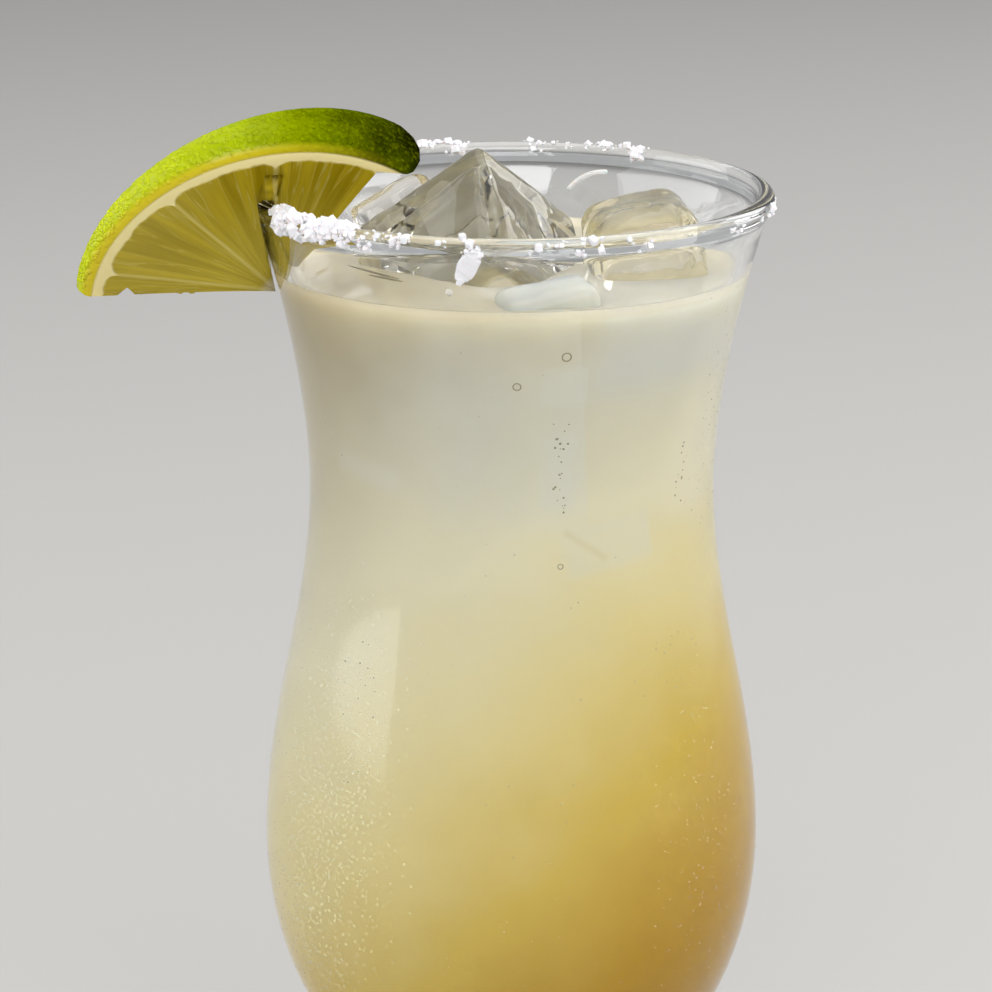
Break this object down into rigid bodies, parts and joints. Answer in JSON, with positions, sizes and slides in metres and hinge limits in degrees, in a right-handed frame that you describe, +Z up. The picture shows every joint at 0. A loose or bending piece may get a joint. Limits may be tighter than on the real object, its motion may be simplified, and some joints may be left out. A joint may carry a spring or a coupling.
{
  "type": "margarita cocktail in a stemmed glass",
  "caption": "Margarita on ice in a tall curved glass with a stem, coarse salt along part of the rim and a slit slice of lime pushed over it.",
  "frame": {"origin": "centre of the underside of the glass's foot", "axes": "+Z up along the axis of the glass, -Y towards the side shown in the picture, -X towards the side where the lime hangs"},
  "size_m": [0.1033, 0.0789, 0.2168],
  "materials": {
    "glass": "clear and polished, with white salt fused to the rim",
    "drink": "cloudy pale yellow liquid",
    "ice": "wet clear ice",
    "lime": "waxy rind, wet flesh"
  },
  "bodies": {
    "root": {"glass": "glass", "drink": "drink", "ice_1": "ice", "ice_2": "ice", "ice_3": "ice", "ice_4": "ice", "lime": "lime"}
  },
  "joints": []
}
